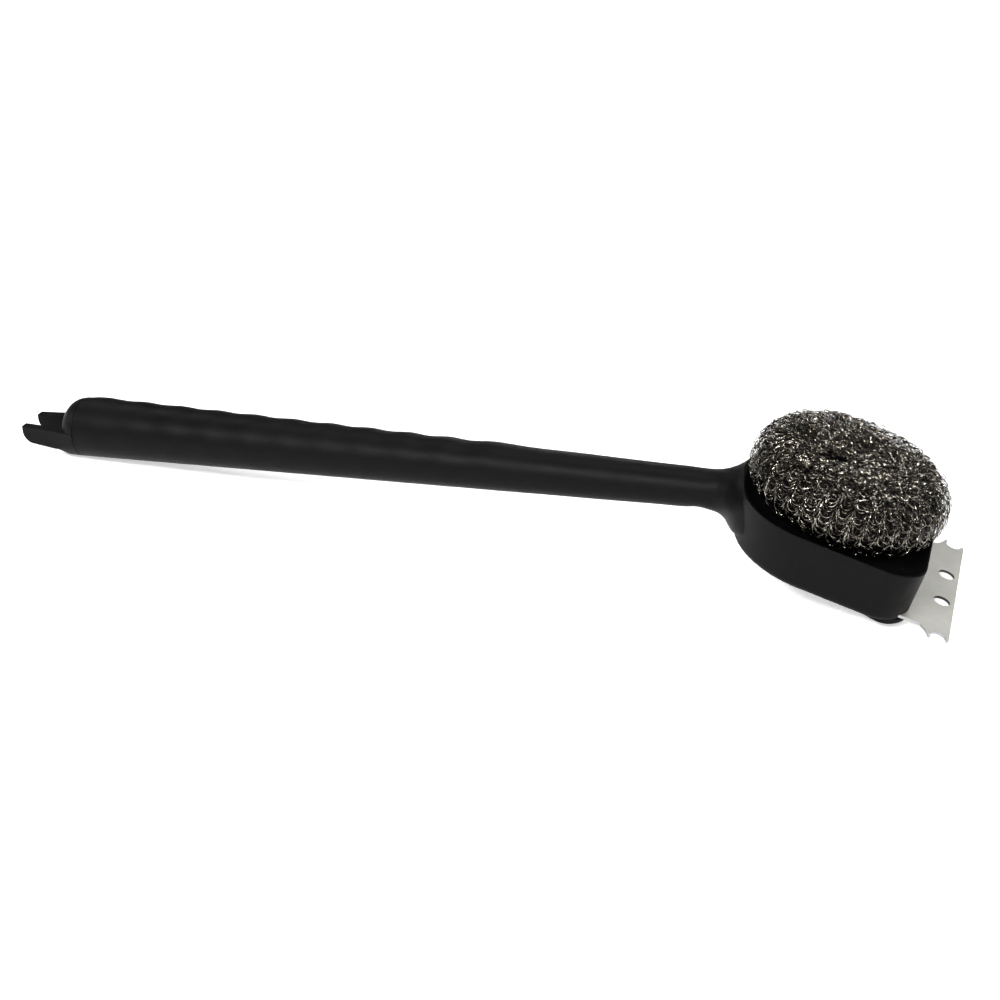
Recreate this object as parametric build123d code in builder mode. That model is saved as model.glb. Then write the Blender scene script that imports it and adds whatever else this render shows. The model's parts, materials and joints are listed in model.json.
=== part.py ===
"""Grill cleaning brush: a long one-piece moulded handle and head, a forked end cap, a steel
scraper plate held by two screws in the head's end wall, and a knitted steel scouring pad
clamped over a central boss. The brush lies on its back: pad up, head towards +X."""

from build123d import *
from math import atan2, copysign, cos, degrees, pi, radians, sin, sqrt
import os

os.makedirs("parts", exist_ok=True)

# ---------------------------------------------------------------- driving dimensions (mm, degrees)
# handle
handle_radius = 14.5          # at the end-cap seam
handle_taper = 0.0177         # radius lost per mm towards the head
neck_at = 300.0               # last plain round section, measured from the seam
grip_pitch = 19.5             # finger waves along the upper side
grip_start = 11.8             # first crest
grip_waves = 10               # troughs between eleven crests
grip_swell = 0.9              # how far a crest stands above the plain taper
trough_depth_first = 0.45
trough_depth_last = 0.70
bore_radius_mouth = 11.3      # the moulding core that hollows the handle
bore_radius_end = 6.2
bore_length = 262.0

# head, in the rim plane's own frame: distances along it, and heights from it
head_tilt = 17.7              # rim plane against the handle axis
rim_datum_along = 322.0       # rim datum, in the handle's own frame
rim_datum_up = 14.0
rim_start = 4.7               # neck end of the rim
rim_end = 91.2                # scraper end of the rim
head_half_width = 45.0
head_depth = 24.3             # rim to underside
bottom_start = 8.0
bottom_half_width = 44.4
underside_radius = 3.5
shoulder_radius = 30.0        # plan radius of the shoulders, at the rim
bottom_shoulder_radius = 36.0
tip_corner_radius = 16.0
wall = 2.5
# the pad lies in a shallow dish: (height, distance in from the rim's outline)
dish = [(0.0, 0.8), (-2.9, 4.0), (-4.8, 12.0)]
deck_thickness = 2.6          # between the dish and the pocket below it
pocket_end = 62.0             # the underside is open as far as this
pocket_shoulder_radius = 32.0
pocket_corner_radius = 8.0
cavity_corner_radius = 13.0
rib_thickness = 1.6
rib_bottom = -19.0
cross_ribs = [31.0, 48.6]     # distance along the rim
long_ribs = [-22.0, 0.0, 22.0]

# scouring pad and its seat
pad_centre = 48.6
pad_radius = 44.9
pad_seat = dish[-1][0]        # underside of the pad
pad_roll_radius = 16.0        # the rolled mesh, a plump ring
pad_well_radius = 6.8         # gathered hole down the middle
pad_well_mouth = (11.0, 24.2)
pad_web_top = 8.0             # top of the clamped middle of the pad
boss_radius = 5.0
boss_bottom = -18.5
pad_screw_radius = 2.1
pad_screw_head_radius = 4.1
pad_screw_head_height = 3.0
pad_screw_length = 25.0
pad_screw_head_edge = 1.4     # rounding of the head
pad_screw_cross = (4.8, 1.0, 1.8)   # driver recess: length, width and depth
washer_radius = 6.4
washer_thickness = 1.0

# scraper plate, its slot and its screws
plate_thickness = 1.2
plate_top = -20.0             # upper face
plate_end = 109.8             # scraping edge
plate_inner_end = 67.0
shank_half_width = 38.5
shank_corner = 3.0
# the plate's side: arcs through three points, each (distance along the rim, half width)
flank_arc = [(96.8, shank_half_width), (99.3, 41.5), (100.8, 45.3)]
tooth_arc = [(100.8, 45.3), (101.3, 45.45), (101.9, 44.8)]
notch_arc = [(101.9, 44.8), (105.15, 39.9), (108.4, 43.6)]
corner_arc = [(108.4, 43.6), (109.4, 43.7), (plate_end, 42.9)]
plate_hole_diameter = 7.3
plate_hole_at = 104.1
plate_hole_half_pitch = 12.5
slot_gap = 0.3
clamp_top = -16.6             # upper face of the clamp over the plate
jaw_depth = 25.1              # thickened lip under the plate
jaw_start = 72.0
jaw_end = 91.9
jaw_half_width = 42.0
jaw_corner_radius = 13.0
scraper_screw_at = 79.5
scraper_screw_half_pitch = 22.0
scraper_screw_radius = 1.9
scraper_screw_head_radius = 3.6
scraper_screw_head_height = 2.2
scraper_screw_length = 13.0
scraper_screw_cross = (4.6, 0.9, 1.5)
scraper_boss_radius = 4.2
recess_depth = 0.4            # screw heads below the underside
running_gap = 0.05

# end cap
cap_dome = 11.2               # length of the domed end
cap_dome_radius = 14.3
dome_sweep = 85.0             # the dome stops just short of the axis, in a tiny flat
seam_gap = 0.45
seam_depth = 0.5
plug_length = 22.0
plug_gap = 0.15
plug_wall = 2.4
skirt_end = -7.2
step_length = 3.0             # concave step between the prongs and the skirt
step_foot = -13.0
step_radius = 5.6
slot_root = -3.0
fork_tip = -30.6
fork_top = 1.2
fork_bottom_tip = -7.3
fork_bottom_root = -8.1
fork_tip_radius = 6.0
fork_half_width_tip = 9.7
fork_half_width_root = 12.7
prong_thickness_tip = 4.3
prong_thickness_root = 4.6
# plan of the prongs' outer faces: (distance along the handle, half width)
fork_plan = [(1.0, 15.0), (-2.5, 14.1), (-9.0, fork_half_width_root),
             (fork_tip, fork_half_width_tip)]

section_points = 24
# where the neck swells into the head: (along the rim, top, bottom, half width, squareness)
flare = [
    (-8.0, -7.9, -26.4, 9.0, 2.0),
    (-3.0, -5.4, -25.8, 9.5, 2.0),
    (1.5, -2.2, -24.9, 12.6, 2.2),
    (5.5, 1.5, -24.5, 19.4, 2.6),
    (10.0, 4.5, -24.3, 27.5, 3.1),
    (15.0, 5.0, -23.5, 31.5, 3.4),
]

scraper_screw_spots = [(scraper_screw_at, side * scraper_screw_half_pitch) for side in (1, -1)]
plate_hole_spots = [(plate_hole_at, side * plate_hole_half_pitch) for side in (1, -1)]

# ---------------------------------------------------------------- frames
# The brush rests on the underside of the handle's end and on the scraper's edge.
head_slope = radians(head_tilt)


def in_handle_frame(along_rim, above_rim):
    """Rim-frame distances turned into (along the handle axis, above it)."""
    along = rim_datum_along + along_rim * cos(head_slope) + above_rim * sin(head_slope)
    up = rim_datum_up - along_rim * sin(head_slope) + above_rim * cos(head_slope)
    return along, up


edge_along, edge_up = in_handle_frame(plate_end, plate_top - plate_thickness)
rest_slope = atan2(-edge_up - handle_radius, edge_along)
top_edge_along, top_edge_up = in_handle_frame(plate_end, plate_top)
reach_head = top_edge_along * cos(rest_slope) - top_edge_up * sin(rest_slope)
reach_fork = fork_tip * cos(rest_slope) - fork_top * sin(rest_slope)
seam_x = -(reach_head + reach_fork) / 2
seam_z = handle_radius * cos(rest_slope)


def handle_side(along=0.0, up=0.0):
    """Plane of symmetry seen from -Y: local x along the handle axis, local y upwards."""
    x = seam_x + along * cos(rest_slope) - up * sin(rest_slope)
    z = seam_z + along * sin(rest_slope) + up * cos(rest_slope)
    return Plane(origin=(x, 0, z), x_dir=(cos(rest_slope), 0, sin(rest_slope)), z_dir=(0, -1, 0))


def handle_section(along, up=0.0):
    """Plane across the handle; local x is +Y, local y upwards."""
    return Plane(origin=handle_side(along, up).origin, x_dir=(0, 1, 0),
                 z_dir=(cos(rest_slope), 0, sin(rest_slope)))


rim_slope = head_slope - rest_slope
rim_origin = handle_side(rim_datum_along, rim_datum_up).origin
rim_x = Vector(cos(rim_slope), 0, -sin(rim_slope))
rim_z = Vector(sin(rim_slope), 0, cos(rim_slope))
rim = Plane(origin=rim_origin, x_dir=rim_x, z_dir=rim_z)
head_side = Plane(origin=rim_origin, x_dir=rim_x, z_dir=(0, -1, 0))


def rim_section(along, up):
    """Plane across the head, square to the rim; local x is +Y, local y away from the floor."""
    return Plane(origin=rim.from_local_coords((along, 0, up)), x_dir=(0, 1, 0), z_dir=rim_x)


def pad_plane(height):
    """Plane parallel to the rim with its origin on the pad's axis."""
    return Plane(origin=rim.from_local_coords((pad_centre, 0, height)), x_dir=rim_x, z_dir=rim_z)


pad_side = Plane(origin=rim.from_local_coords((pad_centre, 0, 0)), x_dir=rim_x, z_dir=(0, -1, 0))
pad_axis = Axis(pad_side.origin, rim_z)


# ---------------------------------------------------------------- shared outlines
def head_outline(neck, half_width, corner, tip, tip_corner, bow=90.0):
    """D-shaped plan: a shallow bow at the neck, round shoulders, straight sides and end."""
    shoulder_y = half_width - corner
    shoulder_x = neck + bow - sqrt((bow - corner) ** 2 - shoulder_y**2)
    swing = degrees(atan2(shoulder_y, neck + bow - shoulder_x))
    tip_x, tip_y = tip - tip_corner, half_width - tip_corner
    with BuildLine() as outline:
        CenterArc((neck + bow, 0), bow, 180 - swing, 2 * swing)
        CenterArc((shoulder_x, shoulder_y), corner, 90, 90 - swing)
        CenterArc((shoulder_x, -shoulder_y), corner, 180 + swing, 90 - swing)
        CenterArc((tip_x, tip_y), tip_corner, 0, 90)
        CenterArc((tip_x, -tip_y), tip_corner, 270, 90)
        Line((shoulder_x, half_width), (tip_x, half_width))
        Line((shoulder_x, -half_width), (tip_x, -half_width))
        Line((tip, tip_y), (tip, -tip_y))
    make_face(outline.edges())


def rounded_section(half_width, half_height, squareness):
    """Superellipse: squareness 2 is a plain ellipse, and more is boxier."""
    power = 2 / squareness
    points = []
    for step in range(section_points):
        angle = 2 * pi * step / section_points
        x, y = cos(angle), sin(angle)
        points.append((half_width * copysign(abs(x) ** power, x),
                       half_height * copysign(abs(y) ** power, y)))
    with BuildLine() as outline:
        Spline(*points, periodic=True)
    make_face(outline.edges())


def driver_cross(cross):
    """Cross-shaped driver recess of a screw head."""
    Rectangle(cross[0], cross[1])
    Rectangle(cross[1], cross[0])


def on_side(points, side):
    """Points given as half widths, put on one side of the plane of symmetry."""
    return [(along, side * half_width) for along, half_width in points]


def swell(step):
    """Height of the grip above the plain taper: crests at even steps, troughs at odd."""
    if step % 2 == 0:
        return grip_swell
    share = (step - 1) / (2 * grip_waves - 2)
    return grip_swell - trough_depth_first - share * (trough_depth_last - trough_depth_first)


# ---------------------------------------------------------------- handle and head, one moulding
grip_sections = [(0.0, 0.0), (4.0, 0.42)]
for step in range(2 * grip_waves + 1):
    grip_sections.append((grip_start + step * grip_pitch / 2, swell(step)))
grip_sections += [(222.0, 0.50), (245.0, 0.28), (275.0, 0.05), (neck_at - 6, 0.0), (neck_at, 0.0)]

# the thickened lip that carries the scraper plate
jaw_top = -head_depth + 2
with BuildPart() as jaw:
    with BuildSketch(rim.offset(jaw_top)):
        head_outline(30, jaw_half_width, 38, jaw_end, jaw_corner_radius)
    extrude(amount=-8)
    with BuildSketch(head_side):
        with BuildLine():
            Spline((jaw_start, -head_depth + 0.3), (jaw_start + 4.5, -jaw_depth + 0.4),
                   (jaw_start + 9.5, -jaw_depth), (jaw_end + 1, jaw_top - 0.5),
                   tangents=((1, -0.1), (1, 0.35)))
            Polyline((jaw_end + 1, jaw_top - 0.5), (jaw_end + 1, jaw_top), (jaw_start, jaw_top),
                     (jaw_start, -head_depth + 0.3))
        make_face()
    extrude(amount=60, both=True, mode=Mode.INTERSECT)

with BuildPart() as head_block:
    with BuildSketch(rim):
        head_outline(rim_start, head_half_width, shoulder_radius, rim_end, tip_corner_radius)
    with BuildSketch(rim.offset(-head_depth)):
        head_outline(bottom_start, bottom_half_width, bottom_shoulder_radius, rim_end - 0.2,
                     tip_corner_radius)
    loft()
    fillet(head_block.faces().sort_by(Axis(rim_origin, rim_z))[0].edges(), underside_radius)

deck_bottom = pad_seat - deck_thickness
slot_half_width = shank_half_width + slot_gap
slot_start = plate_inner_end - slot_gap
slot_far = plate_end + 20
with BuildPart() as handle_head:
    for along, rise in grip_sections:
        with BuildSketch(handle_section(along, rise / 2)):
            Circle(handle_radius - handle_taper * along + rise / 2)
    for along, top, bottom, half_width, squareness in flare:
        with BuildSketch(rim_section(along, (top + bottom) / 2)):
            rounded_section(half_width, (top - bottom) / 2, squareness)
    loft()
    add(head_block.part)
    add(jaw.part)
    # the rim plane trims the top of the neck's sweep
    with BuildSketch(rim):
        with Locations(((rim_start + rim_end) / 2, 0)):
            Rectangle(rim_end - rim_start + 60, 3 * head_half_width)
    extrude(amount=30, mode=Mode.SUBTRACT)
    # the dish
    for height, inset in dish:
        with BuildSketch(rim.offset(height)):
            head_outline(rim_start + inset, head_half_width - inset, shoulder_radius - inset,
                         rim_end - inset, tip_corner_radius - inset)
    loft(mode=Mode.SUBTRACT)
    # open pocket underneath, running on as a cavity above the scraper plate's clamp
    with BuildSketch(rim.offset(deck_bottom)):
        head_outline(bottom_start + 2 * wall, bottom_half_width - wall, pocket_shoulder_radius,
                     pocket_end, pocket_corner_radius)
    extrude(amount=-head_depth, mode=Mode.SUBTRACT)
    with BuildSketch(rim.offset(clamp_top)):
        head_outline(bottom_start + 2 * wall, bottom_half_width - wall, pocket_shoulder_radius,
                     rim_end - wall, cavity_corner_radius)
    extrude(amount=deck_bottom - clamp_top, mode=Mode.SUBTRACT)
    # ribs and screw bosses under the dish
    with BuildSketch(rim.offset(deck_bottom + 0.5)):
        for along in cross_ribs:
            with Locations((along, 0)):
                Rectangle(rib_thickness, 2 * (bottom_half_width - 2 * wall))
        for across in long_ribs:
            with Locations(((bottom_start + pocket_end) / 2 + wall, across)):
                Rectangle(pocket_end - bottom_start, rib_thickness)
    extrude(amount=rib_bottom - deck_bottom - 0.5)
    with BuildSketch(pad_plane(deck_bottom + 0.5)):
        Circle(boss_radius)
    extrude(amount=boss_bottom - deck_bottom - 0.5)
    with BuildSketch(rim.offset(clamp_top - 0.5)):
        with Locations(*scraper_screw_spots):
            Circle(scraper_boss_radius)
    extrude(amount=deck_bottom - clamp_top + 1)
    # slot for the scraper plate, open at the head's end
    with BuildSketch(rim.offset(plate_top)):
        with Locations(((slot_start + slot_far) / 2, 0)):
            Rectangle(slot_far - slot_start, 2 * slot_half_width)
    extrude(amount=-plate_thickness, mode=Mode.SUBTRACT)
    # screw holes: a clearance hole and a recess from below, a pilot above the plate
    with BuildSketch(rim.offset(-jaw_depth - 3)):
        with Locations(*scraper_screw_spots):
            Circle(scraper_screw_head_radius + 0.3)
    extrude(amount=3 + recess_depth + scraper_screw_head_height, mode=Mode.SUBTRACT)
    with BuildSketch(rim.offset(-jaw_depth)):
        with Locations(*scraper_screw_spots):
            Circle(scraper_screw_radius + running_gap)
    extrude(amount=recess_depth + scraper_screw_head_height + scraper_screw_length + 1,
            mode=Mode.SUBTRACT)
    with BuildSketch(pad_plane(pad_seat)):
        Circle(pad_screw_radius + running_gap)
    extrude(amount=-(pad_screw_length - (pad_web_top - pad_seat) - washer_thickness + 1),
            mode=Mode.SUBTRACT)
    # hollow handle, open at the seam
    with BuildSketch(handle_section(0)):
        Circle(bore_radius_mouth)
    with BuildSketch(handle_section(bore_length)):
        Circle(bore_radius_end)
    loft(mode=Mode.SUBTRACT)

handle_head.part.label = "handle_head"

# ---------------------------------------------------------------- forked end cap
cap_top = Plane(origin=handle_side().origin, x_dir=handle_side().x_dir,
                z_dir=(-sin(rest_slope), 0, cos(rest_slope)))
with BuildPart() as fork:
    # side view of the prongs, with a concave step down to the skirt below the dome
    with BuildSketch(handle_side()):
        with BuildLine():
            tip_corner = (fork_tip, fork_bottom_tip + fork_tip_radius)
            belly_start = (fork_tip + fork_tip_radius, fork_bottom_tip)
            belly_end = (skirt_end - step_length, fork_bottom_root)
            skirt_corner = (skirt_end, step_foot)
            Polyline(skirt_corner, (skirt_end, -handle_radius - 2), (0, -handle_radius - 2),
                     (0, fork_top), (fork_tip, fork_top), tip_corner)
            RadiusArc(tip_corner, belly_start, -fork_tip_radius)
            Line(belly_start, belly_end)
            RadiusArc(belly_end, skirt_corner, step_radius)
        make_face()
    extrude(amount=40, both=True)
    # round like the handle, and narrowing towards the tip
    with BuildSketch(handle_section(0)):
        Circle(handle_radius)
    extrude(amount=60, both=True, mode=Mode.INTERSECT)
    with BuildSketch(cap_top):
        with BuildLine():
            for side in (1, -1):
                Spline(*on_side(fork_plan, side))
            for along, half_width in (fork_plan[0], fork_plan[-1]):
                Line((along, half_width), (along, -half_width))
        make_face()
    extrude(amount=40, both=True, mode=Mode.INTERSECT)
    with BuildSketch(cap_top.offset(-8)):
        with BuildLine():
            slot_half_tip = fork_half_width_tip - prong_thickness_tip
            slot_half_root = fork_half_width_root - prong_thickness_root
            Polyline((fork_tip - 1, slot_half_tip), (slot_root, slot_half_root),
                     (slot_root, -slot_half_root), (fork_tip - 1, -slot_half_tip),
                     (fork_tip - 1, slot_half_tip))
        make_face()
    extrude(amount=40, mode=Mode.SUBTRACT)

with BuildPart() as end_cap:
    with BuildSketch(handle_side()):
        with BuildLine():
            dome = EllipticalCenterArc((0, 0), cap_dome, cap_dome_radius, start_angle=90,
                                       arc_size=dome_sweep)
            Polyline(dome @ 1, ((dome @ 1).X, 0), (0, 0), (0, cap_dome_radius))
        make_face()
    revolve(axis=Axis(handle_side().origin, handle_side().x_dir))
    add(fork.part)
    # seam groove, then the plug inside the handle
    with BuildSketch(handle_section(0)):
        Circle(handle_radius + 2)
        Circle(handle_radius - seam_depth, mode=Mode.SUBTRACT)
    extrude(amount=-seam_gap, mode=Mode.SUBTRACT)
    plug_slope = (bore_radius_mouth - bore_radius_end) / bore_length
    with BuildSketch(handle_section(0)):
        Circle(bore_radius_mouth - plug_gap)
    with BuildSketch(handle_section(plug_length)):
        Circle(bore_radius_mouth - plug_gap - plug_slope * plug_length)
    loft()
    with BuildSketch(handle_section(-2)):
        Circle(bore_radius_mouth - plug_gap - plug_wall)
    extrude(amount=plug_length + 2, mode=Mode.SUBTRACT)

end_cap.part.label = "end_cap"

# ---------------------------------------------------------------- scraper plate
with BuildPart() as scraper_plate:
    with BuildSketch(rim.offset(plate_top)):
        for side in (1, -1):
            shank = [(plate_inner_end, 0), (plate_inner_end, shank_half_width - shank_corner),
                     (plate_inner_end + shank_corner, shank_half_width), flank_arc[0]]
            with BuildLine() as edge:
                Polyline(*on_side(shank, side))
                for arc in (flank_arc, tooth_arc, notch_arc, corner_arc):
                    ThreePointArc(*on_side(arc, side))
                Polyline(*on_side([corner_arc[-1], (plate_end, 0), (plate_inner_end, 0)], side))
            make_face(edge.edges())
        with Locations(*plate_hole_spots):
            Circle(plate_hole_diameter / 2, mode=Mode.SUBTRACT)
        with Locations(*scraper_screw_spots):
            Circle(scraper_screw_radius + running_gap, mode=Mode.SUBTRACT)
    extrude(amount=-plate_thickness)

scraper_plate.part.label = "scraper_plate"

# ---------------------------------------------------------------- scraper screws
with BuildPart() as scraper_screws:
    head_plane = rim.offset(-jaw_depth + recess_depth)
    with BuildSketch(head_plane):
        with Locations(*scraper_screw_spots):
            Circle(scraper_screw_head_radius)
    extrude(amount=scraper_screw_head_height)
    with BuildSketch(head_plane.offset(scraper_screw_head_height)):
        with Locations(*scraper_screw_spots):
            Circle(scraper_screw_radius)
    extrude(amount=scraper_screw_length)
    with BuildSketch(head_plane):
        with Locations(*scraper_screw_spots):
            driver_cross(scraper_screw_cross)
    extrude(amount=scraper_screw_cross[2], mode=Mode.SUBTRACT)

scraper_screws.part.label = "scraper_screws"

# ---------------------------------------------------------------- scouring pad (soft)
roll_centre = (pad_radius - pad_roll_radius, pad_seat + pad_roll_radius)
crown = (roll_centre[0], pad_seat + 2 * pad_roll_radius)
pad_hole_radius = pad_screw_radius + 0.3
well_foot = (pad_well_radius, pad_web_top)
with BuildPart() as scouring_pad:
    with BuildSketch(pad_side):
        with BuildLine():
            Polyline((roll_centre[0], pad_seat), (pad_hole_radius, pad_seat),
                     (pad_hole_radius, pad_web_top), well_foot)
            CenterArc(roll_centre, pad_roll_radius, -90, 180)
            Spline(crown, pad_well_mouth, well_foot, tangents=((-1, 0), (0, -1)))
        make_face()
    revolve(axis=pad_axis)

scouring_pad.part.label = "scouring_pad"

# ---------------------------------------------------------------- pad washer and screw
with BuildPart() as pad_washer:
    with BuildSketch(pad_plane(pad_web_top)):
        Circle(washer_radius)
        Circle(pad_screw_radius + running_gap, mode=Mode.SUBTRACT)
    extrude(amount=washer_thickness)

pad_washer.part.label = "pad_washer"

with BuildPart() as pad_screw:
    with BuildSketch(pad_plane(pad_web_top + washer_thickness)):
        Circle(pad_screw_head_radius)
    extrude(amount=pad_screw_head_height)
    fillet(pad_screw.faces().sort_by(Axis(rim_origin, rim_z))[-1].edges(), pad_screw_head_edge)
    with BuildSketch(pad_plane(pad_web_top + washer_thickness)):
        Circle(pad_screw_radius)
    extrude(amount=-pad_screw_length)
    with BuildSketch(pad_plane(pad_web_top + washer_thickness + pad_screw_head_height)):
        driver_cross(pad_screw_cross)
    extrude(amount=-pad_screw_cross[2], mode=Mode.SUBTRACT)

pad_screw.part.label = "pad_screw"

# ---------------------------------------------------------------- STEP files
export_step(handle_head.part, "parts/handle_head.step")
export_step(end_cap.part, "parts/end_cap.step")
export_step(scraper_plate.part, "parts/scraper_plate.step")
export_step(scraper_screws.part, "parts/scraper_screws.step")
export_step(scouring_pad.part, "parts/scouring_pad.step")
export_step(pad_washer.part, "parts/pad_washer.step")
export_step(pad_screw.part, "parts/pad_screw.step")
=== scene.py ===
import json
import math

import bpy
import numpy as np
from mathutils import Matrix, Vector


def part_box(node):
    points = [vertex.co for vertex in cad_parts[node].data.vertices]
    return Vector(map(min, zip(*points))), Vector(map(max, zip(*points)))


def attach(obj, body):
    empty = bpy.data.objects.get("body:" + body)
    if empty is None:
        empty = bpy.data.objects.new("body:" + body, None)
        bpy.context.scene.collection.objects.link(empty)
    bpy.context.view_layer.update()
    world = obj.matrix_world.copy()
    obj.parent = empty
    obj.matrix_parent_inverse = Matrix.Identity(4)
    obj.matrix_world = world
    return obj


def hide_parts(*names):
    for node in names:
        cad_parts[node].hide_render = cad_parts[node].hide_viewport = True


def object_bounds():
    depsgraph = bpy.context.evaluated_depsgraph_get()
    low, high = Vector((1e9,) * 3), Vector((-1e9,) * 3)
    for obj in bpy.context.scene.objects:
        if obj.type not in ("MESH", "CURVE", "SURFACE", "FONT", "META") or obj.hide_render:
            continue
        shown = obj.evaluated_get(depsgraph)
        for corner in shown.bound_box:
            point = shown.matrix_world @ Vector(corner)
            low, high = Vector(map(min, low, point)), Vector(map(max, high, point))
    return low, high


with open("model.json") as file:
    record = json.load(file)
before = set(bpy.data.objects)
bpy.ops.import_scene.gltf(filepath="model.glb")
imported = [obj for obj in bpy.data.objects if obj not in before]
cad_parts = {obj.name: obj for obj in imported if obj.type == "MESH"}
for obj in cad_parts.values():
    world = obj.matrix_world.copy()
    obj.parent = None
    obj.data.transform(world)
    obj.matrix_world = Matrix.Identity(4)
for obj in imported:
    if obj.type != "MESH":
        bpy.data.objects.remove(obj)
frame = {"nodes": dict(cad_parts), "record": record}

CAD_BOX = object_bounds()
MM = 0.001


# ---------------------------------------------------------------- the frame's own directions
def middle(node):
    low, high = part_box(node)
    return (Vector(low) + Vector(high)) / 2


MOUNTS = {m["name"]: m for m in frame["record"]["mounts"]}
RIM_NORMAL = Vector(MOUNTS["plate_hole_near"]["axis"]).normalized()
ACROSS = Vector((0, 1, 0))
RIM_ALONG = ACROSS.cross(RIM_NORMAL)
WASHER_ABOVE_SEAT = 13.3 * MM     # from the pad's underside to the washer's middle
PAD_BASE = middle("pad_washer") - RIM_NORMAL * WASHER_ABOVE_SEAT
PAD_LOW, PAD_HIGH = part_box("scouring_pad")
PAD_RADIUS = (PAD_HIGH[1] - PAD_LOW[1]) / 2
PAD_ROLL = 16.0 * MM              # radius of the pad's rolled edge
HOLE_RADIUS = MOUNTS["plate_hole_near"]["dims"]["r_mm"] * MM


# ---------------------------------------------------------------- materials
BEVEL_SAMPLES = 6
LOW, HIGH = 0.3, 0.7              # most of a noise's values lie between these
PLASTIC_SPECULAR, PLASTIC_GLOSS = 0.075, (0.44, 0.52)
DRIFT_SHADES, DUST_STOPS, DUST_SHADE = (0.86, 1.18), (0.62, 0.80), 0.6
STEEL_METALLIC, STAIN_SHADE, STAIN_STOP = 0.9, 0.86, 0.35
# how far the roughness strays to each side of its value
STEEL_ROUGHNESS, WIRE_ROUGHNESS = (-0.07, 0.09), (-0.05, 0.08)
# painted glints on the wire: the ramp's stops, and how much of the glint tone the middle stop
# takes
PAINTED_GLINT_STOPS, PAINTED_GLINT_MIDDLE = (0.40, 0.54, 0.62), 0.4
# sizes of the noise, in features per metre
PLASTIC_DRIFT, PLASTIC_SPECK, PLASTIC_GRAIN = 30, 2600, 1500
STEEL_LINES, STEEL_STAINS = 220, 55
WIRE_PAINTED_GLINTS, WIRE_MARKS = 620, 3200
# heights of the relief
GRAIN_HEIGHT, SCRATCH_HEIGHT, WEAR_HEIGHT = 0.05 * MM, 0.02 * MM, 0.015 * MM
STEEL_EDGE_RADIUS = 0.25 * MM
# shares of the face's own tone: painted shade on the sheet's edges, and painted shadow in a
# punched hole
EDGE_PAINTED_SHADE = (0.46, 0.475, 0.52)
HOLE_PAINTED_SHADOW = 0.16
HOLE_SPAN = 10 * MM               # distance from a hole's axis that its ramp covers
HOLE_PAINTED_SHADOW_START, HOLE_PAINTED_SHADOW_END = HOLE_RADIUS + 0.03 * MM, HOLE_RADIUS + 0.13 * MM


def new_material(name):
    material = bpy.data.materials.new(name)
    material.use_nodes = True
    nodes = material.node_tree.nodes
    return material, nodes, material.node_tree.links, nodes["Principled BSDF"]


def add_node(nodes, kind, inputs=None, **settings):
    node = nodes.new(kind)
    for key, value in settings.items():
        setattr(node, key, value)
    for key, value in (inputs or {}).items():
        node.inputs[key].default_value = value
    return node


def noise_texture(nodes, links, scale, detail=4.0, roughness=0.55, stretch=None):
    """Noise in object space, in features per metre; stretch lengthens it along an axis."""
    place = add_node(nodes, "ShaderNodeTexCoord")
    texture = add_node(nodes, "ShaderNodeTexNoise",
                       {"Scale": scale, "Detail": detail, "Roughness": roughness})
    if stretch is None:
        links.new(place.outputs["Object"], texture.inputs["Vector"])
    else:
        mapping = add_node(nodes, "ShaderNodeMapping", {"Scale": stretch})
        links.new(place.outputs["Object"], mapping.inputs["Vector"])
        links.new(mapping.outputs["Vector"], texture.inputs["Vector"])
    return texture


def ramp(nodes, links, source, stops):
    """A colour ramp on a source; a stop is (position, grey or colour)."""
    node = add_node(nodes, "ShaderNodeValToRGB")
    elements = node.color_ramp.elements
    while len(elements) < len(stops):
        elements.new(0.5)
    for element, (position, value) in zip(elements, stops):
        element.position = position
        colour = value if isinstance(value, tuple) else (value, value, value)
        element.color = (*colour, 1.0)
    links.new(source, node.inputs["Fac"])
    return node


def blend(nodes, links, kind, first, second):
    """Two colours blended in full, by adding or multiplying."""
    node = add_node(nodes, "ShaderNodeMix", data_type="RGBA", blend_type=kind)
    node.inputs["Factor"].default_value = 1.0
    links.new(first, node.inputs["A"])
    links.new(second, node.inputs["B"])
    return node.outputs["Result"]


def bump(nodes, links, height, distance, strength, before=None):
    node = add_node(nodes, "ShaderNodeBump", {"Strength": strength, "Distance": distance})
    links.new(height, node.inputs["Height"])
    if before is not None:
        links.new(before, node.inputs["Normal"])
    return node


def moulded_plastic(name, shade, edge_radius):
    """Matte moulded plastic: fine spark-eroded grain, slight tone drift, softened edges."""
    material, nodes, links, surface = new_material(name)
    surface.inputs["Specular IOR Level"].default_value = PLASTIC_SPECULAR
    drift = noise_texture(nodes, links, PLASTIC_DRIFT, 3)
    speck = noise_texture(nodes, links, PLASTIC_SPECK, 2)
    dull, pale = DRIFT_SHADES
    tone = ramp(nodes, links, drift.outputs["Fac"], [(LOW, shade * dull), (HIGH, shade * pale)])
    dust = ramp(nodes, links, speck.outputs["Fac"],
                list(zip(DUST_STOPS, (0.0, shade * DUST_SHADE))))
    dusted = blend(nodes, links, "ADD", tone.outputs["Color"], dust.outputs["Color"])
    links.new(dusted, surface.inputs["Base Color"])
    gloss = ramp(nodes, links, drift.outputs["Fac"], list(zip((LOW, HIGH), PLASTIC_GLOSS)))
    links.new(gloss.outputs["Color"], surface.inputs["Roughness"])
    soft = add_node(nodes, "ShaderNodeBevel", {"Radius": edge_radius}, samples=BEVEL_SAMPLES)
    grain = noise_texture(nodes, links, PLASTIC_GRAIN, 3, 0.6)
    rough = bump(nodes, links, grain.outputs["Fac"], GRAIN_HEIGHT, 0.55, soft.outputs["Normal"])
    links.new(rough.outputs["Normal"], surface.inputs["Normal"])
    return material


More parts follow.
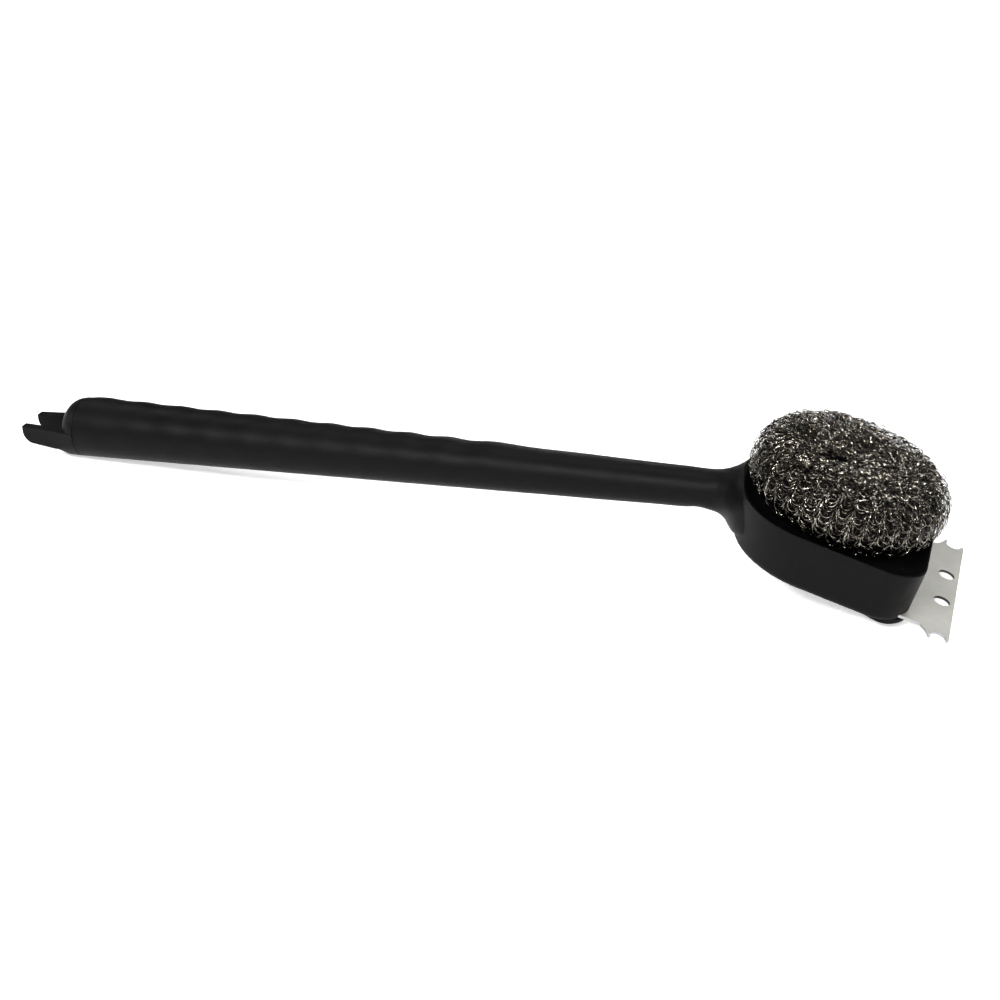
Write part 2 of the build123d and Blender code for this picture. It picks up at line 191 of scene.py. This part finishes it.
def painted_edge_and_hole_shade(nodes, links, tone, face_normal, holes):
    """The tone darkened with painted shade on the sheet's edges, and with more painted shadow in
    its punched holes.
    """
    place = add_node(nodes, "ShaderNodeTexCoord")
    facing = add_node(nodes, "ShaderNodeVectorMath", {1: face_normal}, operation="DOT_PRODUCT")
    links.new(place.outputs["Normal"], facing.inputs[0])
    slant = add_node(nodes, "ShaderNodeMath", operation="ABSOLUTE")
    links.new(facing.outputs["Value"], slant.inputs[0])
    # painted shade: faces turned away from the sheet's face are darkened
    shade = [ramp(nodes, links, slant.outputs["Value"], [(0.5, EDGE_PAINTED_SHADE), (0.9, 1.0)])]
    # painted shadow inside each punched hole, darkest at the hole's wall
    for hole in holes:
        offset = add_node(nodes, "ShaderNodeVectorMath", {1: hole}, operation="SUBTRACT")
        links.new(place.outputs["Object"], offset.inputs[0])
        reach = add_node(nodes, "ShaderNodeVectorMath", {1: face_normal},
                         operation="CROSS_PRODUCT")
        links.new(offset.outputs["Vector"], reach.inputs[0])
        length = add_node(nodes, "ShaderNodeVectorMath", operation="LENGTH")
        links.new(reach.outputs["Vector"], length.inputs[0])
        share = add_node(nodes, "ShaderNodeMath", {1: HOLE_SPAN}, operation="DIVIDE")
        links.new(length.outputs["Value"], share.inputs[0])
        shade.append(ramp(nodes, links, share.outputs["Value"],
                          [(HOLE_PAINTED_SHADOW_START / HOLE_SPAN, HOLE_PAINTED_SHADOW),
                           (HOLE_PAINTED_SHADOW_END / HOLE_SPAN, 1.0)]))
    for layer in shade:
        tone = blend(nodes, links, "MULTIPLY", tone, layer.outputs["Color"])
    return tone


def stamped_steel(name, colour, roughness, brush=(1, 40, 1), face_normal=None, holes=()):
    """Rolled or turned steel: fine lines along one axis, faint stains and a satin shine.
    A sheet's face normal and holes place painted shade on its edges and painted shadow in its
    holes."""
    material, nodes, links, surface = new_material(name)
    surface.inputs["Metallic"].default_value = STEEL_METALLIC
    lines = noise_texture(nodes, links, STEEL_LINES, 6, 0.7, brush)
    stains = noise_texture(nodes, links, STEEL_STAINS, 4)
    stained = tuple(c * STAIN_SHADE for c in colour)
    tone = ramp(nodes, links, stains.outputs["Fac"],
                [(STAIN_STOP, stained), (HIGH, colour)]).outputs["Color"]
    # painted shade on the sheet's edges and painted shadow in its holes
    if face_normal is not None:
        tone = painted_edge_and_hole_shade(nodes, links, tone, face_normal, holes)
    links.new(tone, surface.inputs["Base Color"])
    gloss = ramp(nodes, links, lines.outputs["Fac"],
                 [(stop, roughness + stray) for stop, stray in zip((LOW, HIGH), STEEL_ROUGHNESS)])
    links.new(gloss.outputs["Color"], surface.inputs["Roughness"])
    soft = add_node(nodes, "ShaderNodeBevel", {"Radius": STEEL_EDGE_RADIUS},
                    samples=BEVEL_SAMPLES)
    scratches = bump(nodes, links, lines.outputs["Fac"], SCRATCH_HEIGHT, 0.6,
                     soft.outputs["Normal"])
    links.new(scratches.outputs["Normal"], surface.inputs["Normal"])
    return material


def drawn_wire(name, painted_glint_tone, dull, roughness):
    """Flattened stainless wire: painted glints, short bright patches in the colour, between dull
    grey-brown lengths.
    """
    material, nodes, links, surface = new_material(name)
    surface.inputs["Metallic"].default_value = 1.0
    painted_glints = noise_texture(nodes, links, WIRE_PAINTED_GLINTS, 2)
    marks = noise_texture(nodes, links, WIRE_MARKS, 2)
    between = tuple((1 - PAINTED_GLINT_MIDDLE) * d + PAINTED_GLINT_MIDDLE * b for b, d in zip(painted_glint_tone, dull))
    # painted glints: short bright patches in the wire's colour
    tone = ramp(nodes, links, painted_glints.outputs["Fac"],
                list(zip(PAINTED_GLINT_STOPS, (dull, between, painted_glint_tone))))
    links.new(tone.outputs["Color"], surface.inputs["Base Color"])
    gloss = ramp(nodes, links, marks.outputs["Fac"],
                 [(stop, roughness + stray) for stop, stray in zip((LOW, HIGH), WIRE_ROUGHNESS)])
    links.new(gloss.outputs["Color"], surface.inputs["Roughness"])
    worn = bump(nodes, links, marks.outputs["Fac"], WEAR_HEIGHT, 0.3)
    links.new(worn.outputs["Normal"], surface.inputs["Normal"])
    return material


HANDLE_PLASTIC = moulded_plastic("handle_plastic_look", 0.0020, 0.5 * MM)
CAP_PLASTIC = moulded_plastic("cap_plastic_look", 0.0023, 0.4 * MM)
PLATE_HOLES = [MOUNTS[name]["pos_m"] for name in ("plate_hole_near", "plate_hole_far")]
PLATE_STEEL = stamped_steel("scraper_steel_look", (0.82, 0.81, 0.75), 0.40,
                            face_normal=RIM_NORMAL, holes=PLATE_HOLES)
SCREW_STEEL = stamped_steel("screw_steel_look", (0.58, 0.57, 0.55), 0.30, (1, 1, 30))
# from the pad's skin inwards, each layer darker: painted shade for the depth of the pad; the
# knitted skin on the side is a darker, shaded copy of the crown's wire
WIRE = drawn_wire("pad_wire_look", (0.69, 0.65, 0.56), (0.025, 0.0225, 0.018), 0.16)
# painted shade: the side's knitted skin, a darker copy of the crown's wire
SIDE_WIRE_PAINTED_SHADE = drawn_wire("pad_side_wire_painted_shade_look",
                       (0.37, 0.345, 0.295), (0.015, 0.0135, 0.011), 0.17)
# painted shade: the second layer, darker than the skin
SECOND_WIRE_PAINTED_SHADE = drawn_wire("pad_second_wire_painted_shade_look",
                       (0.22, 0.205, 0.170), (0.016, 0.0145, 0.0115), 0.20)
# painted shade: the deepest layers, darker still
DEEP_WIRE_PAINTED_SHADE = drawn_wire("pad_deep_wire_painted_shade_look",
                       (0.070, 0.064, 0.053), (0.010, 0.009, 0.007), 0.26)
# painted shadow: the dark shell in the pad's middle
CORE_PAINTED_SHADOW = drawn_wire("pad_shadow_core_look", (0.020, 0.018, 0.016), (0.006, 0.005, 0.005), 0.7)


def dress(node, material):
    for slot in frame["nodes"][node].material_slots:
        slot.material = material


dress("handle_head", HANDLE_PLASTIC)
dress("end_cap", CAP_PLASTIC)
dress("scraper_plate", PLATE_STEEL)
for fixing in ("scraper_screws", "pad_washer", "pad_screw"):
    dress(fixing, SCREW_STEEL)


# ---------------------------------------------------------------- the knitted pad
# A section through the pad runs from the foot's inner edge, round the roll, over the crown and
# in to the axis: points (distance from the axis, height above the seat).
ROLL_CENTRE = PAD_RADIUS - PAD_ROLL
FOOT_START = 22 * MM
FOOT_POINTS, TURN_POINTS, CROWN_POINTS = 12, 60, 40
CROWN_DIP = 1.2 * MM              # even slope of the crown towards the axis
PUCKER_DIP, PUCKER_POWER = 2.6 * MM, 5
NORMAL_REACH = 0.4 * MM           # half the run over which a normal is taken
# these keep a division clear of zero
SECTION_GUARD, VECTOR_GUARD = 1e-9, 1e-12

POINTS_PER_LOOP = 20
RIBBON = (0.18 * MM, 0.05 * MM)   # half width and height of the flattened wire
RIBBON_CORNERS = 3
RIBBON_TWIST = (2.5, 0.75)        # smoothing in points, and spread in radians
LOOP_LIFT, LIFT_WANDER, ROW_WANDER = 0.60 * MM, 0.45 * MM, 0.60 * MM
COLUMN_WANDER, LOOP_LEAN, LOOP_SIZE_SPREAD = 0.12, 0.28, 0.26
# smoothing of the loops' lean, size, row and lift, in points
LEAN_REACH, SIZE_REACH, ROW_REACH, LIFT_REACH = (
    POINTS_PER_LOOP * loops for loops in (0.8, 0.7, 1.5, 0.4))
MESS_AT_FOOT, MESS_GROWTH = 0.38, 1.5
LOOP_SWING = (0.75, 0.31)         # first and second harmonic of a loop's sideways swing
ROWS_END = 4 * MM                 # the rows stop this far from the axis
STRAND_POINTS, STRAND_STEP = 150, 0.50 * MM
STRAND_CURL = (5.0, 0.30)         # smoothing in points, and turn per step in radians
STRAND_LIFT_REACH = 3.5           # smoothing in points
STRANDS_NEAR, STRANDS_FAR = 0.3 * MM, 58 * MM


def pad_section(depth):
    """The section at a depth below the pad's surface, as closely spaced points."""
    radius = PAD_ROLL - depth
    foot = [(r, depth)
            for r in np.linspace(FOOT_START, ROLL_CENTRE, FOOT_POINTS, endpoint=False)]
    turn = [(ROLL_CENTRE + radius * math.cos(a), PAD_ROLL + radius * math.sin(a))
            for a in np.linspace(-math.pi / 2, math.pi / 2, TURN_POINTS, endpoint=False)]
    crown = []
    for share in np.linspace(0, 1, CROWN_POINTS):
        # the crown dips towards a pucker in the middle
        dip = CROWN_DIP * share + PUCKER_DIP * share ** PUCKER_POWER
        crown.append((ROLL_CENTRE * (1 - share), PAD_ROLL + radius - dip))
    return np.array(foot + turn + crown)


def on_section(line, run, s):
    """Positions and outward normals at distances s along a section."""
    r, h = (np.interp(s, run, line[:, k]) for k in (0, 1))
    ahead, back = (np.clip(s + step, 0, run[-1]) for step in (NORMAL_REACH, -NORMAL_REACH))
    dr, dh = (np.interp(ahead, run, line[:, k]) - np.interp(back, run, line[:, k])
              for k in (0, 1))
    length = np.hypot(dr, dh) + SECTION_GUARD
    return r, h, dh / length, -dr / length


def section_run(line):
    """Distance along a section at each of its points."""
    return np.concatenate([[0], np.cumsum(np.linalg.norm(np.diff(line, axis=0), axis=1))])


def around_axis(r, h, nr, nh, theta, lift):
    """Points lifted off the section, turned to angle theta, with their normals."""
    r, h = r + nr * lift, h + nh * lift
    place = np.stack([r * np.cos(theta), r * np.sin(theta), h], axis=-1)
    normal = np.stack([nr * np.cos(theta), nr * np.sin(theta), nh], axis=-1)
    return place, normal


def ripple(rng, shape, reach, amount):
    """Random wander, smoothed over a reach in points, that closes on itself along the last
    axis."""
    n = shape[-1]
    spectrum = np.fft.rfft(rng.normal(size=shape), axis=-1)
    spectrum *= np.exp(-0.5 * (np.fft.rfftfreq(n) * reach * 2 * math.pi) ** 2)
    wander = np.fft.irfft(spectrum, n=n, axis=-1)
    return amount * wander / wander.std()


def knit_rows(rng, depth, wales, spacing, loop_height, reach, mess):
    """The knitted rows up to a share of the section, one closed line each, with normals."""
    line = pad_section(depth)
    run = section_run(line)
    rows = int(run[-1] * reach / spacing)
    n = wales * POINTS_PER_LOOP
    t = 2 * math.pi * np.arange(n) / POINTS_PER_LOOP
    # the columns of loops wander slowly from row to row; the crown is more tangled than the side
    climb = np.arange(rows)[:, None] * spacing / run[-1]
    tangle = mess * (MESS_AT_FOOT + MESS_GROWTH * climb ** 2)
    wander = np.cumsum(rng.normal(size=(rows, 1)), axis=0) * COLUMN_WANDER
    lean = ripple(rng, (rows, n), LEAN_REACH, LOOP_LEAN) * tangle
    size = 1 + ripple(rng, (rows, n), SIZE_REACH, LOOP_SIZE_SPREAD) * tangle
    # wide U-shaped loops hanging towards the foot, joined by narrow arches behind them
    swing = LOOP_SWING[0] * np.sin(t) + LOOP_SWING[1] * np.sin(2 * t)
    theta = (t + wander + size * swing + lean) / wales
    s = (np.arange(rows)[:, None] + 0.5) * spacing - 0.5 * loop_height * size * np.cos(t)
    s = s + ripple(rng, (rows, n), ROW_REACH, ROW_WANDER) * tangle
    s = np.clip(s, 0, run[-1] - ROWS_END)
    uneven = ripple(rng, (rows, n), LIFT_REACH, LIFT_WANDER) * tangle
    lift = LOOP_LIFT * np.cos(t) + uneven
    return around_axis(*on_section(line, run, s), theta, lift)


def tangle_strands(rng, depth, strands, edge, thickness):
    """Wire curling at random over the crown, as closed strands, with their middles within a
    distance of the axis, measured along the surface."""
    line = pad_section(depth)
    run = section_run(line)
    heading = rng.uniform(0, 2 * math.pi, (strands, 1))
    heading = heading + np.cumsum(ripple(rng, (strands, STRAND_POINTS), *STRAND_CURL), axis=1)
    stride = STRAND_STEP * np.stack([np.cos(heading), np.sin(heading)], axis=-1)
    flat = np.cumsum(stride - stride.mean(axis=1, keepdims=True), axis=1)
    start = edge * np.sqrt(rng.uniform(0, 1, (strands, 1)))
    bearing = rng.uniform(0, 2 * math.pi, (strands, 1))
    flat += np.stack([start * np.cos(bearing), start * np.sin(bearing)], axis=-1)
    out = np.hypot(flat[..., 0], flat[..., 1])
    theta = np.arctan2(flat[..., 1], flat[..., 0])
    s = run[-1] - np.clip(out, STRANDS_NEAR, STRANDS_FAR)
    lift = ripple(rng, (strands, STRAND_POINTS), STRAND_LIFT_REACH, thickness)
    return around_axis(*on_section(line, run, s), theta, lift)


def unit(vectors):
    return vectors / (np.linalg.norm(vectors, axis=-1, keepdims=True) + VECTOR_GUARD)


def ribbon_mesh(rng, name, place, normal):
    """A flat ribbon wire swept along each closed line, twisting as it goes."""
    half_width, half_height = RIBBON
    rows, n = place.shape[:2]
    run = unit(np.roll(place, -1, 1) - np.roll(place, 1, 1))
    side = unit(np.cross(run, normal))
    up = np.cross(side, run)
    twist = ripple(rng, (rows, n), *RIBBON_TWIST)[..., None]
    cos, sin = np.cos(twist), np.sin(twist)
    side, up = side * cos + up * sin, up * cos - side * sin
    corners = [half_width * side, half_height * up, -half_width * side]
    verts = np.stack([place + c for c in corners], axis=2).reshape(-1, 3)
    ring = np.arange(rows * n).reshape(rows, n)
    after = np.roll(ring, -1, 1)
    faces = []
    here, there = ring * RIBBON_CORNERS, after * RIBBON_CORNERS
    for k in range(RIBBON_CORNERS):
        j = (k + 1) % RIBBON_CORNERS
        faces.append(np.stack([here + k, there + k, there + j, here + j], -1))
    faces = np.stack(faces, axis=2).reshape(-1, 4)
    return mesh_from(name, verts, faces, smooth=False)


def mesh_from(name, verts, faces, smooth):
    """A mesh object from arrays in the pad's axes, placed in the row frame."""
    axes = np.array([RIM_ALONG, ACROSS, RIM_NORMAL])
    world = verts @ axes + np.array(PAD_BASE)
    mesh = bpy.data.meshes.new(name)
    mesh.vertices.add(len(world))
    mesh.vertices.foreach_set("co", world.astype(np.float32).ravel())
    mesh.loops.add(faces.size)
    mesh.loops.foreach_set("vertex_index", faces.astype(np.int32).ravel())
    mesh.polygons.add(len(faces))
    starts = np.arange(0, faces.size, faces.shape[1], dtype=np.int32)
    mesh.polygons.foreach_set("loop_start", starts)
    mesh.update(calc_edges=True)
    mesh.validate()
    mesh.polygons.foreach_set("use_smooth", [smooth] * len(mesh.polygons))
    thing = bpy.data.objects.new(name, mesh)
    bpy.context.scene.collection.objects.link(thing)
    return thing


CORE_DEPTH, CORE_TURNS, CORE_SEED = 5.2 * MM, 160, 5
CORE_WELL = (9 * MM, (14 * MM, 6 * MM))   # foot of the well's wall, and where the base starts
CORE_LUMPS = (0.5 * MM, 0.4 * MM)         # outwards, and upwards
CORE_LUMP_REACH = 2.0                     # smoothing in points
CORE_GAP = 6                              # section points left out next to the axis


def pad_shadow_core():
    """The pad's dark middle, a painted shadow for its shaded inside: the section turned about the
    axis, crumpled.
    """
    rng = np.random.default_rng(CORE_SEED)
    # every second point of the section is enough
    line = pad_section(CORE_DEPTH)[:-CORE_GAP:2]
    wall_foot, base_start = CORE_WELL
    line = np.vstack([line, [line[-1, 0], wall_foot], base_start])
    shape = (len(line), CORE_TURNS)
    theta = 2 * math.pi * np.arange(CORE_TURNS) / CORE_TURNS
    r = line[:, :1] + ripple(rng, shape, CORE_LUMP_REACH, CORE_LUMPS[0])
    h = line[:, 1:] + ripple(rng, shape, CORE_LUMP_REACH, CORE_LUMPS[1])
    verts = np.stack([r * np.cos(theta), r * np.sin(theta), h], -1)
    ring = np.arange(verts.size // 3).reshape(shape)
    up, across = np.roll(ring, -1, 0), np.roll(ring, -1, 1)
    both = np.roll(up, -1, 1)
    faces = np.stack([ring, across, both, up], -1).reshape(-1, 4)
    return mesh_from("pad_shadow_core", verts.reshape(-1, 3), faces, smooth=True)


KNIT_SEED, TANGLE_SEED = 100, 200
# (name, depth, columns of loops, row spacing, loop height, share of the section, mess,
# material), lengths in mm
KNITS = [
    ("pad_knit_skin", 0.6, 40, 2.4, 4.8, 0.74, 0.8, SIDE_WIRE_PAINTED_SHADE),
    ("pad_knit_second", 1.8, 37, 2.8, 5.6, 0.74, 1.5, SECOND_WIRE_PAINTED_SHADE),
    ("pad_knit_third", 3.0, 35, 3.0, 6.0, 0.90, 1.8, DEEP_WIRE_PAINTED_SHADE),
    ("pad_knit_fourth", 4.2, 37, 3.2, 6.2, 0.90, 2.0, DEEP_WIRE_PAINTED_SHADE),
]
# (name, depth, strands, furthest middle from the axis, thickness of the tangle, material),
# lengths in mm
TANGLES = [
    ("pad_tangle_skin", 0.7, 100, 36, 0.40, WIRE),
    ("pad_tangle_second", 1.9, 110, 38, 0.50, SECOND_WIRE_PAINTED_SHADE),
]
# painted shadow: a dark shell inside the wires
core = pad_shadow_core()
core.data.materials.append(CORE_PAINTED_SHADOW)
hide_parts("scouring_pad")
pad_pieces = [core]


def add_wires(rng, name, lines, look):
    piece = ribbon_mesh(rng, name, *lines)
    piece.data.materials.append(look)
    pad_pieces.append(piece)


for number, (name, depth, wales, spacing, tall, reach, mess, look) in enumerate(KNITS):
    rng = np.random.default_rng(KNIT_SEED + number)
    rows = knit_rows(rng, depth * MM, wales, spacing * MM, tall * MM, reach, mess)
    add_wires(rng, name, rows, look)
for number, (name, depth, strands, edge, thickness, look) in enumerate(TANGLES):
    rng = np.random.default_rng(TANGLE_SEED + number)
    curls = tangle_strands(rng, depth * MM, strands, edge * MM, thickness * MM)
    add_wires(rng, name, curls, look)
for piece in pad_pieces:
    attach(piece, "root")


# ---------------------------------------------------------------- floor, light and camera
FLOOR_HALF = 10.0
FLOOR_GLOW, FLOOR_ROUGHNESS, WALL_GLOW = 0.45, 0.9, 1.0
FLOOR_TONES, WALL_TONES = (0.90, 0.92), (0.93, 0.97)
FLOOR_DRIFT, WALL_DRIFT = 6, 0.2  # features per metre
FLOOR_GAP = 0.0001                # below the part's lowest point
WALL_SIDES, WALL_RADIUS, WALL_FOOT, WALL_TOP = 32, 9.5, -0.01, 5.0
WHITE, BLACK = (1.0, 1.0, 1.0, 1.0), (0.0, 0.0, 0.0, 1.0)


def stage_mesh(name, verts, faces):
    """A mesh of the studio with a material of its own, not yet staged."""
    mesh = bpy.data.meshes.new(name)
    mesh.from_pydata(verts, [], faces)
    thing = bpy.data.objects.new(name, mesh)
    bpy.context.scene.collection.objects.link(thing)
    material, nodes, links, surface = new_material(name + "_look")
    mesh.materials.append(material)
    surface.inputs["Specular IOR Level"].default_value = 0.0
    return thing, nodes, links, surface


def stage_floor():
    """A pale floor that gives off a little light of its own."""
    corners = [(x * FLOOR_HALF, y * FLOOR_HALF, 0)
               for x, y in ((-1, -1), (1, -1), (1, 1), (-1, 1))]
    floor, nodes, links, surface = stage_mesh("studio_floor", corners, [(0, 1, 2, 3)])
    drift = noise_texture(nodes, links, FLOOR_DRIFT, 2)
    tone = ramp(nodes, links, drift.outputs["Fac"], list(zip((LOW, HIGH), FLOOR_TONES)))
    links.new(tone.outputs["Color"], surface.inputs["Base Color"])
    surface.inputs["Roughness"].default_value = FLOOR_ROUGHNESS
    surface.inputs["Emission Color"].default_value = WHITE
    surface.inputs["Emission Strength"].default_value = FLOOR_GLOW
    floor.location.z = CAD_BOX[0][2] - FLOOR_GAP


def stage_wall():
    """A pale wall round the floor, for low views; only the camera sees it."""
    ring = [(WALL_RADIUS * math.cos(a), WALL_RADIUS * math.sin(a))
            for a in np.linspace(0, 2 * math.pi, WALL_SIDES, endpoint=False)]
    verts = [(x, y, z) for z in (WALL_FOOT, WALL_TOP) for x, y in ring]
    faces = [(k, (k + 1) % WALL_SIDES, WALL_SIDES + (k + 1) % WALL_SIDES, WALL_SIDES + k)
             for k in range(WALL_SIDES)]
    wall, nodes, links, surface = stage_mesh("studio_wall", verts, faces)
    drift = noise_texture(nodes, links, WALL_DRIFT, 2)
    tone = ramp(nodes, links, drift.outputs["Fac"], list(zip((LOW, HIGH), WALL_TONES)))
    surface.inputs["Base Color"].default_value = BLACK
    surface.inputs["Emission Strength"].default_value = WALL_GLOW
    links.new(tone.outputs["Color"], surface.inputs["Emission Color"])
    wall.visible_diffuse = wall.visible_glossy = wall.visible_shadow = False


def softbox(name, offset, width, height, power):
    """A rectangular lamp at an offset from the part's centre, turned towards it."""
    lamp = bpy.data.lights.new(name, "AREA")
    lamp.shape = "RECTANGLE"
    lamp.size, lamp.size_y, lamp.energy = width, height, power
    thing = bpy.data.objects.new(name, lamp)
    thing.location = CENTRE + Vector(offset)
    thing.rotation_euler = (CENTRE - thing.location).to_track_quat("-Z", "Y").to_euler()
    bpy.context.scene.collection.objects.link(thing)


CENTRE = (Vector(CAD_BOX[0]) + Vector(CAD_BOX[1])) / 2
SKY_STRENGTH, SKY_SPREAD, SKY_TILT = 1.6, math.radians(40), math.radians(-8)
KEY_OFFSET, KEY_WIDTH, KEY_HEIGHT, KEY_POWER = (-0.25, -0.95, 0.78), 0.5, 0.16, 12
# the ring: lamps, degrees to the first, and metres
RING_LAMPS, RING_START, RING_RADIUS, RING_SIZE = 8, 12, 1.1, 0.12
RING_HEIGHTS = (0.45, 0.95)
RING_POWER, RING_FRONT_EXTRA = 3.0, 1.8   # watts; the lamps in front are stronger

stage_floor()
stage_wall()
sky = bpy.data.lights.new("sky", "SUN")
sky.energy, sky.angle = SKY_STRENGTH, SKY_SPREAD
sky_lamp = bpy.data.objects.new("sky", sky)
sky_lamp.rotation_euler = (SKY_TILT, 0, 0)
bpy.context.scene.collection.objects.link(sky_lamp)
softbox("key", KEY_OFFSET, KEY_WIDTH, KEY_HEIGHT, KEY_POWER)
# small lamps all round give the wires their glints
for number in range(RING_LAMPS):
    angle = math.radians(360 / RING_LAMPS * number + RING_START)
    offset = (RING_RADIUS * math.cos(angle), RING_RADIUS * math.sin(angle),
              RING_HEIGHTS[number % 2])
    softbox("ring_%d" % number, offset, RING_SIZE, RING_SIZE,
            RING_POWER - RING_FRONT_EXTRA * math.sin(angle))

WORLD_STRENGTH = 0.06
world = bpy.data.worlds.new("studio")
bpy.context.scene.world = world
world.use_nodes = True
background = world.node_tree.nodes["Background"]
background.inputs["Color"].default_value = WHITE
background.inputs["Strength"].default_value = WORLD_STRENGTH
bpy.context.scene.view_settings.view_transform = "Standard"

# the camera stands beside the head, above it, and looks across at the middle of the handle
CAMERA_PLACE = Vector((226.3, -720.9, 384.7)) * MM
CAMERA_AIM = Vector((17.1, 0.0, 10.5)) * MM
CAMERA_ROLL = math.radians(1.754)
SENSOR_WIDTH, FOCAL_LENGTH, CLIP_START = 36.0, 65.04, 0.01
camera_data = bpy.data.cameras.new("camera")
camera_data.sensor_width = SENSOR_WIDTH
camera_data.lens = FOCAL_LENGTH
camera_data.clip_start = CLIP_START
camera = bpy.data.objects.new("camera", camera_data)
turn = (CAMERA_AIM - CAMERA_PLACE).to_track_quat("-Z", "Y").to_matrix().to_4x4()
roll = Matrix.Rotation(CAMERA_ROLL, 4, "Z")
camera.matrix_world = Matrix.Translation(CAMERA_PLACE) @ turn @ roll
bpy.context.scene.collection.objects.link(camera)
bpy.context.scene.camera = camera
